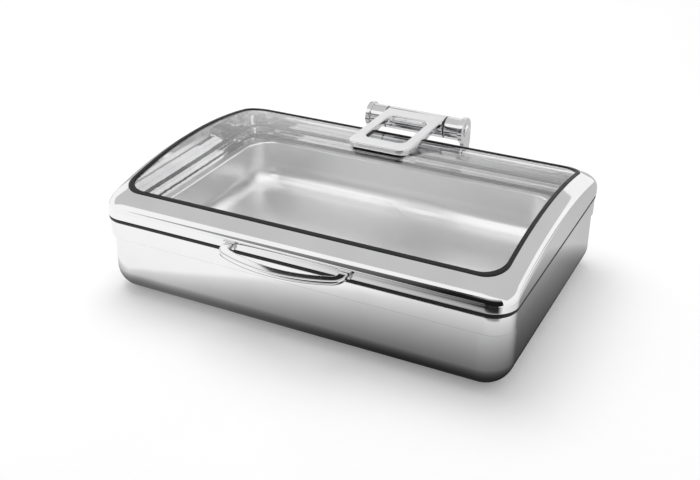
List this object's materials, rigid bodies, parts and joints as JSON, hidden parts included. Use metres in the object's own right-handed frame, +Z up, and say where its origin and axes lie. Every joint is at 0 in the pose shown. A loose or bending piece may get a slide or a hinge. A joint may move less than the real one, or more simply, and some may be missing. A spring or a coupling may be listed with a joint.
{
  "type": "chafing dish",
  "caption": "Rectangular stainless steel chafing dish: water pan, lift-out food pan and a framed glass lid with a bow handle on a damped rear hinge.",
  "frame": {"origin": "on the table under the middle of the dish, in the plane of the base plate's underside", "axes": "+X to the right as seen from the handle, +Y to the back where the hinge is, +Z up"},
  "size_m": [0.6, 0.4776, 0.1856],
  "materials": {
    "polished_steel": "polished",
    "satin_steel": "satin",
    "magnetic_steel": "ground",
    "fastener_steel": "machined",
    "hinge_chrome": "polished",
    "bush_brass": "turned",
    "black_rubber": "matte",
    "nylon": "moulded",
    "damper_plastic": "moulded",
    "friction_lining": "pressed",
    "clear_glass": "clear, tempered"
  },
  "bodies": {
    "dish": {"water_pan": "polished_steel", "induction_base": "magnetic_steel", "lid_seal": "black_rubber", "hinge_bracket": "hinge_chrome", "bracket_backing": "magnetic_steel", "bracket_screws": "fastener_steel", "barrel_left": "hinge_chrome", "barrel_right": "hinge_chrome", "bush_left": "bush_brass", "bush_right": "bush_brass", "thrust_washer_left": "nylon", "thrust_washer_right": "nylon", "damper_housing": "damper_plastic"},
    "lid": {"lid_frame": "polished_steel", "glass_gasket": "black_rubber", "lid_glass": "clear_glass", "hinge_arm": "hinge_chrome", "arm_pad": "black_rubber", "clamp_pad": "black_rubber", "clamp_plate": "fastener_steel", "arm_screws": "fastener_steel", "hinge_pin": "fastener_steel", "pin_cap_left": "hinge_chrome", "pin_cap_right": "hinge_chrome", "damper_rotor": "damper_plastic", "friction_discs": "friction_lining", "lid_handle": "polished_steel", "handle_screws": "fastener_steel"},
    "food_pan": {"food_pan": "satin_steel"}
  },
  "joints": [
    {"name": "lid_hinge", "type": "hinge", "parent": "dish", "child": "lid", "pos_m": [0, 0.212, 0.16508], "axis": [-1, 0, 0], "range_deg": [0, 90]},
    {"name": "food_pan_lift", "type": "slide", "parent": "dish", "child": "food_pan", "axis": [0, 0, 1], "range_m": [0, 0.03]}
  ]
}
